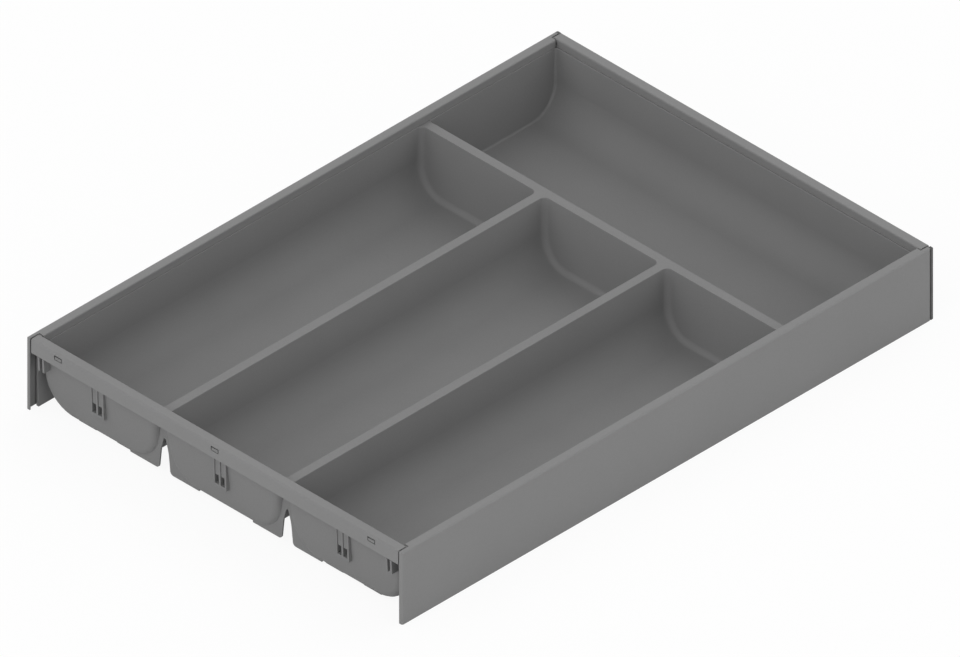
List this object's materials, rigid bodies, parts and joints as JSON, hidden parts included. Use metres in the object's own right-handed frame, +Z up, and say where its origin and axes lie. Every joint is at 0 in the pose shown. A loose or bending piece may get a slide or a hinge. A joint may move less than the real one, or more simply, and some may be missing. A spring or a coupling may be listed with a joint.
{
  "type": "cutlery tray",
  "caption": "Rectangular drawer tray for cutlery: a moulded insert with long rounded bowls and a cross bowl, edged by a clip-on frame of folded grey steel.",
  "frame": {"origin": "middle of the underside, on the surface that the tray stands on", "axes": "+X across the width to the right, +Y along the length from the end with the long bowls to the cross bowl, +Z up"},
  "size_m": [0.3, 0.424, 0.0495],
  "materials": {
    "coated_steel": "fine matt powder coat, mid grey",
    "tray_plastic": "finely grained matt mid-grey moulding",
    "liner_plastic": "matt grey strip",
    "grey_rubber": "dull dark grey rubber"
  },
  "bodies": {
    "tray": {"cutlery_tray": "tray_plastic", "anti_slip_pad_front_1": "grey_rubber", "anti_slip_pad_front_2": "grey_rubber", "anti_slip_pad_front_3": "grey_rubber", "anti_slip_pad_front_4": "grey_rubber", "anti_slip_pad_rear_1": "grey_rubber", "anti_slip_pad_rear_2": "grey_rubber", "anti_slip_pad_rear_3": "grey_rubber", "anti_slip_pad_rear_4": "grey_rubber"},
    "frame": {"left_side_panel": "coated_steel", "right_side_panel": "coated_steel", "front_rail": "coated_steel", "rear_rail": "coated_steel", "left_side_liner": "liner_plastic", "right_side_liner": "liner_plastic", "front_left_corner_bracket": "coated_steel", "front_right_corner_bracket": "coated_steel", "rear_left_corner_bracket": "coated_steel", "rear_right_corner_bracket": "coated_steel", "rear_left_buffer_strip": "grey_rubber", "rear_right_buffer_strip": "grey_rubber"}
  },
  "joints": [
    {"name": "frame_lift", "type": "slide", "parent": "tray", "child": "frame", "axis": [0, 0, 1], "range_m": [0, 0.05]}
  ]
}
